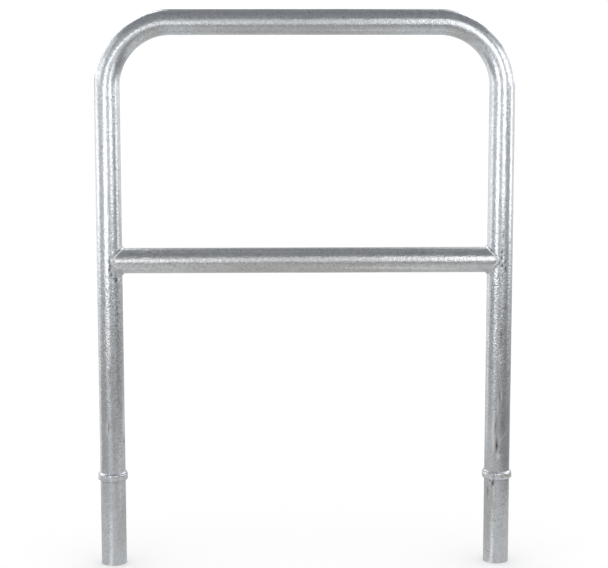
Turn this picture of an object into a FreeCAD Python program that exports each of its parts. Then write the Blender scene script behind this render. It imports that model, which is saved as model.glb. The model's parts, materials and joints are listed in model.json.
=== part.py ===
import FreeCAD, Part

# A removable hoop barrier of hot-dip galvanised steel tube.
#
# One tube is bent into an upright U with two legs. A cross rail of the same tube joins the legs,
# its ends coped to sit on them, with a weld bead round each saddle. Low on each leg a flat bar is
# bent round the tube and welded on as a stop ring: the leg below it is the root that goes down
# into a ground socket, and the ring rests on the socket's rim.
#
# Frame: the origin is midway between the leg ends. +X runs along the rail, +Z is up, and -Y is
# the front, the side with the joints of the stop rings. Lengths are millimetres.

import os
from math import cos, hypot, pi, sin

import Sketcher

DRIVING_SIZES = [
    ("leg_spacing", 925.0, "centre to centre of the legs"),
    ("overall_height", 1325.0, "leg ends to the top of the hoop"),
    ("tube_diameter", 60.3, "outside of the hoop and of the rail"),
    ("tube_wall", 2.9, "wall of both tubes"),
    ("bend_radius", 150.0, "centre line of the two bends"),
    ("rail_height", 737.0, "leg ends to the axis of the cross rail"),
    ("root_depth", 208.0, "leg ends to the underside of the stop rings"),
    ("end_rounding", 0.6, "rounding of the cut leg ends"),
    ("vent_diameter", 20.0, "vent hole in the leg wall inside each rail end"),
    ("cope_gap", 0.5, "fit-up gap between a coped rail end and the leg"),
    ("saddle_bead_radius", 6.2, "section of the weld bead round the saddle"),
    ("saddle_bead_sink_crotch", 2.5, "depth of that section's centre over and under the rail"),
    ("saddle_bead_sink_side", 4.6, "the same depth at the front and the back"),
    ("saddle_bead_tip", 8.0, "how far the bead stays from the leg's centre line"),
    ("ring_bar", 5.0, "thickness of the stop ring's bar"),
    ("ring_height", 15.0, "height of the stop ring"),
    ("ring_clearance", 0.25, "gap between the ring's bore and the leg"),
    ("ring_rounding", 1.4, "rounding of the ring's outer edges"),
    ("ring_joint_gap", 3.0, "gap between the two ends of the ring's bar"),
    ("ring_joint_angle", -19.0, "degrees from the front to that gap, seen from above"),
    ("ring_weld_leg", 4.4, "legs of the fillet weld on top of the ring"),
    ("ring_weld_crown", 5.2, "radius of that weld's crown"),
    ("joint_weld_notch", 4.0, "how much of the ring's joint stays open below its weld"),
    ("joint_weld_rise", 0.8, "how far the joint's weld stands proud of the ring"),
]

BEAD_STATIONS = 48
BEAD_RING_POLES = 12
CUBIC = 3
LEFT, RIGHT = -1, 1
SIDE_NAMES = {LEFT: "left", RIGHT: "right"}

os.makedirs("parts", exist_ok=True)
doc = FreeCAD.newDocument("hoop_barrier")

sizes = doc.addObject("Spreadsheet::Sheet", "sizes")
for row, (alias, value, meaning) in enumerate(DRIVING_SIZES, start=1):
    sizes.set(f"A{row}", alias)
    sizes.set(f"B{row}", str(value))
    sizes.set(f"C{row}", meaning)
    sizes.setAlias(f"B{row}", alias)
doc.recompute()


# --- Helpers: bodies, and sketches whose every measure is a formula on the sheet -------------

# Sketcher's own numbers: the ends and centre of a curve, the sketch's axes and its origin.
START, END, CENTRE = 1, 2, 3
FLAT_AXIS, UPRIGHT_AXIS = -1, -2
SKETCH_ORIGIN = (-1, START)


def value_of(formula):
    """The number that a formula on the sheet gives."""
    number = sizes.evalExpression(formula)
    return getattr(number, "Value", number)


def new_body(name):
    body = doc.addObject("PartDesign::Body", name)
    body.Label = name
    return body


def new_sketch(body, name, plane):
    """A sketch on one of the body's origin planes: XY_Plane, XZ_Plane or YZ_Plane."""
    sketch = body.newObject("Sketcher::SketchObject", name)
    support = next(f for f in body.Origin.OriginFeatures if f.Role == plane)
    sketch.AttachmentSupport = (support, "")
    sketch.MapMode = "FlatFace"
    return sketch


def new_feature(body, kind, name, profile, **settings):
    """A PartDesign feature on a profile sketch, with its plain settings."""
    feature = body.newObject("PartDesign::" + kind, name)
    feature.Profile = profile
    for setting, value in settings.items():
        setattr(feature, setting, value)
    profile.Visibility = False
    return feature


def dimension(sketch, kind, where, formula):
    """A constraint whose value follows a formula."""
    index = sketch.addConstraint(Sketcher.Constraint(kind, *where, value_of(formula)))
    sketch.setExpression(f"Constraints[{index}]", formula)


def relation(sketch, kind, *where):
    """A constraint with no value, such as Coincident or Tangent."""
    sketch.addConstraint(Sketcher.Constraint(kind, *where))


def pin_point(sketch, geometry, point, across, up):
    """Hold a point at two formulas from the sketch's origin. A zero puts it on an axis."""
    if across == "0":
        relation(sketch, "PointOnObject", geometry, point, UPRIGHT_AXIS)
    else:
        dimension(sketch, "DistanceX", (*SKETCH_ORIGIN, geometry, point), across)
    if up == "0":
        relation(sketch, "PointOnObject", geometry, point, FLAT_AXIS)
    else:
        dimension(sketch, "DistanceY", (*SKETCH_ORIGIN, geometry, point), up)


def sketch_point(across, up):
    return FreeCAD.Vector(value_of(across), value_of(up), 0)


def add_circle(sketch, across, up, radius):
    normal = FreeCAD.Vector(0, 0, 1)
    circle = Part.Circle(sketch_point(across, up), normal, value_of(radius))
    geometry = sketch.addGeometry(circle)
    pin_point(sketch, geometry, CENTRE, across, up)
    dimension(sketch, "Radius", (geometry,), radius)


def add_outline(sketch, corners, crown=None):
    """A closed outline through corners, each a pair of formulas. The last stretch but one may
    be an arc with the radius crown, bulging away from the first corner."""
    points = [sketch_point(*corner) for corner in corners]
    count = len(points)
    edges = [Part.LineSegment(points[i], points[(i + 1) % count]) for i in range(count)]
    if crown is not None:
        edges[-2] = crowned_arc(points[0], points[-2], points[-1], value_of(crown))
    geometry = sketch.addGeometry(edges)
    for i, corner in enumerate(corners):
        relation(sketch, "Coincident", geometry[i], END, geometry[(i + 1) % count], START)
        pin_point(sketch, geometry[i], START, *corner)
    if crown is not None:
        dimension(sketch, "Radius", (geometry[-2],), crown)


def crowned_arc(inner_corner, start, end, radius):
    """The arc from start to end of that radius whose middle lies away from inner_corner."""
    middle = (start + end) / 2
    outwards = (middle - inner_corner).normalize()
    half_chord = (end - start).Length / 2
    rise = radius - (radius ** 2 - half_chord ** 2) ** 0.5
    return Part.Arc(start, middle + outwards * rise, end)


def round_edges(body, name, feature, is_wanted, radius):
    """Fillet the edges of a feature that is_wanted picks, with a radius from the sheet."""
    doc.recompute()
    edges = feature.Shape.Edges
    names = [f"Edge{i}" for i, edge in enumerate(edges, start=1) if is_wanted(edge)]
    fillet = body.newObject("PartDesign::Fillet", name)
    fillet.Base = (feature, names)
    fillet.setExpression("Radius", radius)


def is_circle_at(edge, height, radius):
    """Whether an edge is a level circle or arc at that height and of that radius."""
    close = 1e-4
    curve = edge.Curve
    level = isinstance(curve, Part.Circle) and abs(abs(curve.Axis.z) - 1) < close
    return level and abs(curve.Center.z - height) < close and abs(curve.Radius - radius) < close


# --- The hoop: a tube pushed along its centre line --------------------------------------------

def make_hoop():
    body = new_body("hoop_tube")

    path = new_sketch(body, "hoop_centre_line", "XZ_Plane")
    half_span = sizes.leg_spacing / 2
    top = sizes.overall_height - sizes.tube_diameter / 2
    bend = sizes.bend_radius
    corner = half_span - bend

    def at(across, up):
        return FreeCAD.Vector(across, up, 0)

    def bend_circle(centre_across):
        return Part.Circle(at(centre_across, top - bend), FreeCAD.Vector(0, 0, 1), bend)

    left_leg, left_bend, top_run, right_bend, right_leg = path.addGeometry([
        Part.LineSegment(at(-half_span, 0), at(-half_span, top - bend)),
        Part.ArcOfCircle(bend_circle(-corner), pi / 2, pi),
        Part.LineSegment(at(-corner, top), at(corner, top)),
        Part.ArcOfCircle(bend_circle(corner), 0, pi / 2),
        Part.LineSegment(at(half_span, top - bend), at(half_span, 0)),
    ])
    relation(path, "Vertical", left_leg)
    relation(path, "Horizontal", top_run)
    relation(path, "Vertical", right_leg)
    relation(path, "Tangent", left_leg, END, left_bend, END)
    relation(path, "Tangent", left_bend, START, top_run, START)
    relation(path, "Tangent", top_run, END, right_bend, END)
    relation(path, "Tangent", right_bend, START, right_leg, START)
    relation(path, "Equal", left_bend, right_bend)
    relation(path, "PointOnObject", left_leg, START, FLAT_AXIS)
    relation(path, "Symmetric", left_leg, START, right_leg, END, UPRIGHT_AXIS)
    dimension(path, "Radius", (left_bend,), "sizes.bend_radius")
    dimension(path, "DistanceX", (left_leg, START, right_leg, END), "sizes.leg_spacing")
    dimension(path, "DistanceY", (*SKETCH_ORIGIN, top_run, START),
              "sizes.overall_height - sizes.tube_diameter / 2")

    section = new_sketch(body, "hoop_section", "XY_Plane")
    at_left_leg = "-sizes.leg_spacing / 2"
    add_circle(section, at_left_leg, "0", "sizes.tube_diameter / 2")
    add_circle(section, at_left_leg, "0", "sizes.tube_diameter / 2 - sizes.tube_wall")
    tube = new_feature(body, "AdditivePipe", "bent_tube", section)
    tube.Spine = (path, [f"Edge{i}" for i in range(1, path.GeometryCount + 1)])
    path.Visibility = False
    doc.recompute()
    solid_volume = tube.Shape.Volume

    vent = new_sketch(body, "vent_outline", "YZ_Plane")
    add_circle(vent, "0", "sizes.rail_height", "sizes.vent_diameter / 2")
    # From leg axis to leg axis, so the cut goes through the inner walls only.
    vents = new_feature(body, "Pocket", "vent_holes", vent, SideType="Symmetric")
    vents.setExpression("Length", "sizes.leg_spacing")
    doc.recompute()
    if not vents.Shape.Volume < solid_volume:
        raise RuntimeError("the vent holes cut nothing")

    wall_radii = (sizes.tube_diameter / 2, sizes.tube_diameter / 2 - sizes.tube_wall)
    round_edges(body, "rounded_leg_ends", vents,
                lambda edge: any(is_circle_at(edge, 0, radius) for radius in wall_radii),
                "sizes.end_rounding")
    return body


# --- The cross rail: a straight tube, coped to both legs --------------------------------------

def make_cross_rail():
    body = new_body("cross_rail")
    section = new_sketch(body, "rail_section", "YZ_Plane")
    add_circle(section, "0", "sizes.rail_height", "sizes.tube_diameter / 2")
    add_circle(section, "0", "sizes.rail_height", "sizes.tube_diameter / 2 - sizes.tube_wall")
    tube = new_feature(body, "Pad", "straight_tube", section, SideType="Symmetric")
    tube.setExpression("Length", "sizes.leg_spacing")
    doc.recompute()
    tube_volume = tube.Shape.Volume

    cope = new_sketch(body, "cope_outline", "XY_Plane")
    for leg_axis in ("-sizes.leg_spacing / 2", "sizes.leg_spacing / 2"):
        add_circle(cope, leg_axis, "0", "sizes.tube_diameter / 2 + sizes.cope_gap")
    copes = new_feature(body, "Pocket", "coped_ends", cope, SideType="Symmetric")
    copes.setExpression("Length", "2 * (sizes.rail_height + sizes.tube_diameter)")
    doc.recompute()
    if not copes.Shape.Volume < tube_volume:
        raise RuntimeError("the copes cut nothing")
    return body


# --- The saddle welds: a round bead laid along the joint, less the two tubes -------------------

def saddle_bead_centre(angle, side):
    """Centre of the bead's section at an angle round the rail.

    The bead follows the saddle where the rail meets the leg. There both skins are one radius
    from their axes, so a joint with sharp tips would lie as far from the leg's centre plane as
    the point is above or below the rail's axis. The bead's tips are rounded off, at the front
    and the back, and its centre is sunk into the joint between the two skins."""
    radius = sizes.tube_diameter / 2
    forward, up = cos(angle), sin(angle)
    along = hypot(sizes.saddle_bead_tip * forward, radius * up)
    into_joint = FreeCAD.Vector(-abs(up), -2 * forward, -up).normalize()
    sink = (sizes.saddle_bead_sink_side * forward ** 2
            + sizes.saddle_bead_sink_crotch * up ** 2)
    centre = FreeCAD.Vector(along, radius * forward, radius * up) + into_joint * sink
    return FreeCAD.Vector(side * (sizes.leg_spacing / 2 - centre.x),
                          centre.y, centre.z + sizes.rail_height)


def saddle_bead(side):
    """The whole round bead as one closed solid. Its skin is a cubic surface, periodic both
    ways: rings of poles, each square to the bead's line, stand round it one after another."""
    middle = FreeCAD.Vector(side * (sizes.leg_spacing - sizes.tube_diameter) / 2,
                            0, sizes.rail_height)
    # A cubic runs this share of the way out to poles that stand evenly on a circle.
    reach = (2 + cos(2 * pi / BEAD_RING_POLES)) / 3
    pole_radius = sizes.saddle_bead_radius / reach
    rings = []
    for station in range(BEAD_STATIONS):
        angle = 2 * pi * station / BEAD_STATIONS
        centre = saddle_bead_centre(angle, side)
        ahead = saddle_bead_centre(angle + pi / BEAD_STATIONS, side)
        behind = saddle_bead_centre(angle - pi / BEAD_STATIONS, side)
        heading = (ahead - behind).normalize()
        inwards = middle - centre
        inwards = (inwards - heading * inwards.dot(heading)).normalize()
        across = heading.cross(inwards)
        rings.append([centre + inwards * (pole_radius * cos(2 * pi * i / BEAD_RING_POLES))
                      + across * (pole_radius * sin(2 * pi * i / BEAD_RING_POLES))
                      for i in range(BEAD_RING_POLES)])
    skin = Part.BSplineSurface()
    skin.buildFromPolesMultsKnots(
        rings, [1] * (BEAD_STATIONS + 1), [1] * (BEAD_RING_POLES + 1),
        [float(knot) for knot in range(BEAD_STATIONS + 1)],
        [float(knot) for knot in range(BEAD_RING_POLES + 1)], True, True, CUBIC, CUBIC)
    bead = Part.Solid(Part.Shell([skin.toShape()]))
    if bead.Volume < 0:
        bead.reverse()
    return bead


def make_saddle_weld(side):
    name = SIDE_NAMES[side]
    bead = doc.addObject("Part::Feature", f"saddle_bead_{name}")
    bead.Shape = saddle_bead(side)

    leg = doc.addObject("Part::Cylinder", f"leg_skin_{name}")
    leg.setExpression("Radius", "sizes.tube_diameter / 2")
    leg.setExpression("Height", "sizes.overall_height")
    leg.setExpression("Placement.Base.x", f"{side} * sizes.leg_spacing / 2")

    rail = doc.addObject("Part::Cylinder", f"rail_skin_{name}")
    rail.Placement.Rotation = FreeCAD.Rotation(FreeCAD.Vector(0, 1, 0), 90)
    rail.setExpression("Radius", "sizes.tube_diameter / 2")
    rail.setExpression("Height", "sizes.leg_spacing")
    rail.setExpression("Placement.Base.x", "-sizes.leg_spacing / 2")
    rail.setExpression("Placement.Base.z", "sizes.rail_height")

    off_leg = doc.addObject("Part::Cut", f"bead_off_leg_{name}")
    off_leg.Base = bead
    off_leg.Tool = leg
    weld = doc.addObject("Part::Cut", f"rail_weld_{name}")
    weld.Label = f"rail_weld_{name}"
    weld.Base = off_leg
    weld.Tool = rail
    return weld


# --- The stop rings and their welds, each turned about its own upright axis --------------------
#
# In these bodies Z is the leg's axis, z = 0 is the ring's underside, and the joint in the ring's
# bar lies at -X. Their placements put them on a leg and turn the joint to its place.

BORE = "(sizes.tube_diameter / 2 + sizes.ring_clearance)"
LEG_SKIN = "sizes.tube_diameter / 2"
JOINT_ANGLE = f"2 * asin(sizes.ring_joint_gap / 2 / ({BORE} + sizes.ring_bar / 2))"


def seat_on_leg(body, side):
    """Put a body at its ring's underside, with its -X turned to the ring's joint."""
    front_is = 90
    upright = FreeCAD.Vector(0, 0, 1)
    turn = FreeCAD.Rotation(upright, front_is + sizes.ring_joint_angle)
    body.Placement = FreeCAD.Placement(FreeCAD.Vector(), turn)
    body.setExpression("Placement.Rotation.Angle", f"{front_is} + sizes.ring_joint_angle")
    body.setExpression("Placement.Base.x", f"{side} * sizes.leg_spacing / 2")
    body.setExpression("Placement.Base.z", "sizes.root_depth")


def turn_profile(body, name, profile, angle):
    """Turn a profile about the sketch's upright axis, half the angle each way."""
    turned = new_feature(body, "Revolution", name, profile, Midplane=True)
    turned.ReferenceAxis = (profile, ["V_Axis"])
    turned.setExpression("Angle", angle)
    return turned


def make_stop_ring(side):
    body = new_body(f"stop_ring_{SIDE_NAMES[side]}")
    outside = f"{BORE} + sizes.ring_bar"
    profile = new_sketch(body, body.Label + "_bar", "XZ_Plane")
    add_outline(profile, [(BORE, "0"), (outside, "0"),
                          (outside, "sizes.ring_height"), (BORE, "sizes.ring_height")])
    ring = turn_profile(body, body.Label + "_bend", profile, f"360 deg - {JOINT_ANGLE}")
    outer_radius = value_of(outside)
    round_edges(body, body.Label + "_rounding", ring,
                lambda edge: any(is_circle_at(edge, height, outer_radius)
                                 for height in (0, sizes.ring_height)),
                "sizes.ring_rounding")
    seat_on_leg(body, side)
    return body


def make_ring_weld(side):
    body = new_body(f"ring_weld_{SIDE_NAMES[side]}")
    profile = new_sketch(body, body.Label + "_fillet", "XZ_Plane")
    add_outline(profile, [(LEG_SKIN, "sizes.ring_height"),
                          (f"{LEG_SKIN} + sizes.ring_weld_leg", "sizes.ring_height"),
                          (LEG_SKIN, "sizes.ring_height + sizes.ring_weld_leg")],
                crown="sizes.ring_weld_crown")
    turn_profile(body, body.Label + "_bead", profile, "360 deg")
    seat_on_leg(body, side)
    return body


def make_joint_weld(side):
    body = new_body(f"ring_butt_weld_{SIDE_NAMES[side]}")
    proud = f"-({BORE} + sizes.ring_bar + sizes.joint_weld_rise)"
    profile = new_sketch(body, body.Label + "_fill", "XZ_Plane")
    add_outline(profile, [(f"-{LEG_SKIN}", "sizes.joint_weld_notch"),
                          (f"-{LEG_SKIN}", "sizes.ring_height"),
                          (proud, "sizes.ring_height"), (proud, "sizes.joint_weld_notch")])
    turn_profile(body, body.Label + "_metal", profile, JOINT_ANGLE)
    seat_on_leg(body, side)
    return body


# --- Build, check and write --------------------------------------------------------------------

pieces = [make_hoop(), make_cross_rail()]
for make_piece in (make_saddle_weld, make_stop_ring, make_ring_weld, make_joint_weld):
    for hand in (LEFT, RIGHT):
        pieces.append(make_piece(hand))
doc.recompute()

for thing in doc.Objects:
    if {"Invalid", "Error"} & set(thing.State):
        raise RuntimeError(f"{thing.Label} failed: {thing.State}")
for piece in pieces:
    if piece.Shape.isNull() or not piece.Shape.isValid() or len(piece.Shape.Solids) != 1:
        raise RuntimeError(f"{piece.Label} isn't one valid solid")

for piece in pieces:
    piece.Shape.exportStep(f"parts/{piece.Label}.step")
    print(f"{piece.Label}: {piece.Shape.Volume / 1000:.1f} cm3")
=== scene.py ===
# %% [markdown]
# # A galvanised hoop barrier
# One steel tube is bent into a hoop, a second tube is welded across it, and a ring on each leg
# stops it at the ground socket. The whole thing is dipped in molten zinc after welding, so one
# skin covers tubes, rings and welds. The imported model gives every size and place. This lesson
# gives each piece the surface that zinc leaves on it.

# %% The frame and its sizes
import json
import math

import bpy
import numpy as np
from mathutils import Matrix, Vector


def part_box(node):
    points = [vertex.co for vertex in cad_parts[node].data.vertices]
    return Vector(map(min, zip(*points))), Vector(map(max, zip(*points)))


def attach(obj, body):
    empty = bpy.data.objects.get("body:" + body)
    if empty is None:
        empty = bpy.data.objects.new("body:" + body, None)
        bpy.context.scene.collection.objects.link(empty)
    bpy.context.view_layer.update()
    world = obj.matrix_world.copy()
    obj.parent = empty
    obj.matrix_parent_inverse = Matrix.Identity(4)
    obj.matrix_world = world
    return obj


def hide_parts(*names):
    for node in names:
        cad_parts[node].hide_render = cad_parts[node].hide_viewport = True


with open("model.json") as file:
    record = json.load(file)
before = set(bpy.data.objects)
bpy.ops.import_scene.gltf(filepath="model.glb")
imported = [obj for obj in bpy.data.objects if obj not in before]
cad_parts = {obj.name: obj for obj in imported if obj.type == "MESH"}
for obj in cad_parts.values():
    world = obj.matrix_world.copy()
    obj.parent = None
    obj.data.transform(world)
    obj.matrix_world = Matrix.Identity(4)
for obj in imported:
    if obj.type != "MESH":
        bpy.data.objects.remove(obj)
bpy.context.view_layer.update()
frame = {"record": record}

MM = 0.001
mounts = {mount["name"]: mount for mount in frame["record"]["mounts"]}
LEG_X = mounts["right_leg"]["pos_m"][0]
TUBE_RADIUS = mounts["right_leg"]["dims"]["r_mm"] * MM
TUBE_WALL = 2.9 * MM
BORE_RADIUS = TUBE_RADIUS - TUBE_WALL
BEND_RADIUS = 150 * MM
RING_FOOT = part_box("stop_ring_left")[0].z
RING_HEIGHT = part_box("stop_ring_left")[1].z - RING_FOOT
RAIL_Z = (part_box("cross_rail")[0].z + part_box("cross_rail")[1].z) / 2
TOP_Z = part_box("hoop_tube")[1].z - TUBE_RADIUS
print("legs at", LEG_X, "tube radius", TUBE_RADIUS,
      "rail at", round(RAIL_Z, 4), "top at", round(TOP_Z, 4))

# %% [markdown]
# ## Turning a grid of points into a piece
# Every piece here is a surface worked out as a grid. A tube or a bead closes on itself both
# ways, like a ring doughnut. A cut ring and a blob of weld close one way and end in two poles.
# Both could be modelled by hand, but a formula keeps the joints exact. The volume says whether
# the faces point outwards: if it is negative they are turned round.

# %% Grid faces
def band_faces(below, above, columns):
    """Quads between rows of points: each corner joins the next column and the row above."""
    column = np.arange(columns)[None, :]
    right = (column + 1) % columns
    quads = np.stack([below + column, below + right, above + right, above + column], -1)
    return quads.reshape(-1, 4)


def wrapped_faces(rows, columns):
    """Quads of a grid that closes both ways, so that its last row joins its first."""
    row = np.arange(rows)[:, None]
    return band_faces(row * columns, (row + 1) % rows * columns, columns)


def capped_faces(rows, columns):
    """Quads of a grid that closes across only, with a fan of triangles to a pole at each end."""
    below = np.arange(rows - 1)[:, None] * columns
    quads = band_faces(below, below + columns, columns)
    around = np.arange(columns)
    beside = (around + 1) % columns
    last = (rows - 1) * columns
    first_fan = np.stack([beside, around, np.full(columns, rows * columns)], -1)
    last_fan = np.stack([last + around, last + beside, np.full(columns, rows * columns + 1)], -1)
    return quads, np.vstack([first_fan, last_fan])


def signed_volume(points, triangles):
    """Sum of the tetrahedra from the origin to each triangle: positive if faces point outwards."""
    a, b, c = (points[triangles[:, k]] for k in range(3))
    return float(np.einsum("ij,ij->i", a, np.cross(b, c)).sum() / 6)


# %% [markdown]
# ## From grid to mesh
# The grid's points go into a mesh as one array, which is quick even for a hundred thousand of
# them. Each point keeps its flow, which is where it lies along the piece and round it, for the
# zinc's patterns. Some pieces also keep a shade, for marks lighter or darker than their zinc, and
# for painted shade and painted highlights.

# %% The mesh itself
def add_piece(name, points, quads, fans, flow, finish, node, shade=None):
    """Puts the grid into a mesh, turns it outwards, keeps its flow, parents it to the root body
    and hides the imported part.
    """
    corners = np.concatenate([quads.ravel(), fans.ravel()])
    sides = np.concatenate([np.full(len(quads), 4), np.full(len(fans), 3)])
    triangles = np.vstack([quads[:, [0, 1, 2]], quads[:, [0, 2, 3]], fans])
    volume = signed_volume(points, triangles)
    starts = np.concatenate([[0], np.cumsum(sides)[:-1]])
    if volume < 0:
        quads, fans = quads[:, ::-1], fans[:, ::-1]
        corners = np.concatenate([quads.ravel(), fans.ravel()])
    mesh = bpy.data.meshes.new(name)
    mesh.vertices.add(len(points))
    mesh.vertices.foreach_set("co", points.astype(np.float32).ravel())
    mesh.loops.add(len(corners))
    mesh.loops.foreach_set("vertex_index", corners.astype(np.int32))
    mesh.polygons.add(len(sides))
    mesh.polygons.foreach_set("loop_start", starts.astype(np.int32))
    mesh.polygons.foreach_set("use_smooth", np.ones(len(sides), bool))
    mesh.update(calc_edges=True)
    kept = mesh.attributes.new("flow", "FLOAT_VECTOR", "POINT")
    kept.data.foreach_set("vector", flow.astype(np.float32).ravel())
    if shade is not None:
        marked = mesh.attributes.new("shade", "FLOAT", "POINT")
        marked.data.foreach_set("value", shade.astype(np.float32).ravel())
    mesh.materials.append(finish)
    piece = bpy.data.objects.new(name, mesh)
    bpy.context.scene.collection.objects.link(piece)
    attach(piece, "root")
    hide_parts(node)
    print(name, len(triangles), "triangles,", round(abs(volume) * 1e6, 1), "cm3")
    return piece


def add_wrapped(name, grid, flow, finish, node, shade=None):
    """A piece from a grid that closes both ways."""
    rows, columns = grid.shape[:2]
    none = np.zeros((0, 3), int)
    return add_piece(name, grid.reshape(-1, 3), wrapped_faces(rows, columns), none,
                     flow.reshape(-1, 3), finish, node, shade)


def add_capped(name, grid, flow, finish, node, shade=None):
    """A piece from a grid that closes across, with the mean of each end row as its pole."""
    rows, columns = grid.shape[:2]
    poles = grid[[0, -1]].mean(1)
    flow_poles = flow[[0, -1]].mean(1)
    quads, fans = capped_faces(rows, columns)
    if shade is not None:
        shade = np.concatenate([shade.ravel(), shade[[0, -1]].mean(1)])
    return add_piece(name, np.vstack([grid.reshape(-1, 3), poles]), quads, fans,
                     np.vstack([flow.reshape(-1, 3), flow_poles]), finish, node, shade)


# %% [markdown]
# ## Waves in the zinc
# Zinc drains off the steel and sets with a low, uneven swell. Noise could come from a texture,
# but the swell bends the edges of every reflection, so it belongs in the shape. A few dozen
# plane waves in random directions, from a fixed seed, add up to a smooth swell with no seam,
# because they are read at points in space.

# %% The swell
def swell(points, shortest, longest, seed, count=40):
    """Plane waves added up, their lengths spread from shortest to longest, about -1 to 1."""
    random = np.random.default_rng(seed)
    direction = random.normal(size=(count, 3))
    direction /= np.linalg.norm(direction, axis=1)[:, None]
    length = np.exp(random.uniform(math.log(shortest), math.log(longest), count))
    phase = random.uniform(0, 2 * math.pi, count)
    wave = direction * (2 * math.pi / length)[:, None]
    total = np.zeros(points.shape[:-1])
    for k in range(count):
        total += np.cos(points @ wave[k] + phase[k])
    return total / math.sqrt(count / 2) / 2


def bumps(along, around, places):
    """Sum of soft mounds: height times exp(-(far along)^2 - (far round)^2). A place is (along,
    around, half length, half width, height, lean), and lean slants its mound."""
    total = np.zeros(np.broadcast(along, around).shape)
    for centre, side, half_length, half_width, height, lean in places:
        far = along - centre
        off = around - side - lean * far
        total += height * np.exp(-(far / half_length) ** 2 - (off / half_width) ** 2)
    return total


# %% [markdown]
# ## Shader maths as plain sums
# A material is a net of small nodes, and wiring each by hand hides what it does. The class below
# wraps one socket, so that a line such as `1 - mask * 0.5` adds the Math nodes that it means.

# %% Nodes as expressions
class Wire:
    """One socket of a material, with the arithmetic that adds Math nodes."""

    def __init__(self, board, socket):
        self.board = board
        self.socket = socket

    def maths(self, operation, *others, clamp=False):
        return self.board.node("ShaderNodeMath", {"operation": operation, "use_clamp": clamp},
                               dict(enumerate((self, *others))))

    def __add__(self, other):
        return self.maths("ADD", other)

    def __sub__(self, other):
        return self.maths("SUBTRACT", other)

    def __mul__(self, other):
        return self.maths("MULTIPLY", other)

    def __rsub__(self, other):
        return self.board.constant(other).maths("SUBTRACT", self)

    __radd__ = __add__
    __rmul__ = __mul__

    def clamped(self):
        return self.maths("ADD", 0.0, clamp=True)

    def size(self):
        return self.maths("ABSOLUTE")

    def larger(self, other):
        return self.maths("MAXIMUM", other)

    def ramp(self, low, high, first=0.0, last=1.0):
        """first below low, last above high, and a smooth step between."""
        return self.board.node("ShaderNodeMapRange", {"interpolation_type": "SMOOTHSTEP"},
                               {0: self, 1: low, 2: high, 3: first, 4: last})

    def between(self, low, high, soft):
        """One from low to high and nothing outside, with both edges soft over this width."""
        rising = self.ramp(low - soft / 2, low + soft / 2)
        falling = self.ramp(high - soft / 2, high + soft / 2, 1.0, 0.0)
        return rising * falling


class Board:
    """The node board of a material or of the world."""

    def __init__(self, owner):
        owner.use_nodes = True
        self.tree = owner.node_tree
        self.tree.nodes.clear()

    def node(self, kind, settings=None, inputs=None, output=0):
        made = self.tree.nodes.new(kind)
        for name, value in (settings or {}).items():
            setattr(made, name, value)
        for name, value in (inputs or {}).items():
            if isinstance(value, Wire):
                self.tree.links.new(value.socket, made.inputs[name])
            else:
                made.inputs[name].default_value = value
        return Wire(self, made.outputs[output]) if len(made.outputs) else made

    def constant(self, number):
        return self.node("ShaderNodeMath", {"operation": "ADD"}, {0: number, 1: 0.0})

    def stretched(self, vector, scale):
        return self.node("ShaderNodeVectorMath", {"operation": "MULTIPLY"},
                         {0: vector, 1: scale})

    def noise(self, vector, scale, detail=2.0, roughness=0.5):
        return self.node("ShaderNodeTexNoise", {}, {
            "Vector": vector, "Scale": scale, "Detail": detail, "Roughness": roughness})

    def cells(self, vector, scale, output="Distance"):
        return self.node("ShaderNodeTexVoronoi", {"feature": "F1"},
                         {"Vector": vector, "Scale": scale}, output)


# %% [markdown]
# ## The zinc skin
# Hot-dip zinc is a semi-bright metal. Faint crystals a few millimetres wide tint it, streaks run
# the way the tube was drawn, and the surface carries an orange-peel bump with scattered pits.
# A painted grey would miss all of this, so colour, roughness and bump are separate patterns at
# real scale. They read the flow kept on each mesh, which is distance along the piece and place
# round it, so streaks follow the bends and no seam shows. The middle of each leg is rougher than
# its ends. A strong light mark is a scratch, so it is matt as well as pale; a strong painted
# highlight turns matt with it. The colour also takes painted shade and painted highlights.

# %% The zinc finish
ROUGH_FROM, ROUGH_TO, ROUGH_EDGE = 0.42, 0.76, 0.16
DARKEST_TONE = 0.12
SCRATCH_SHADE = 0.25


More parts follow.
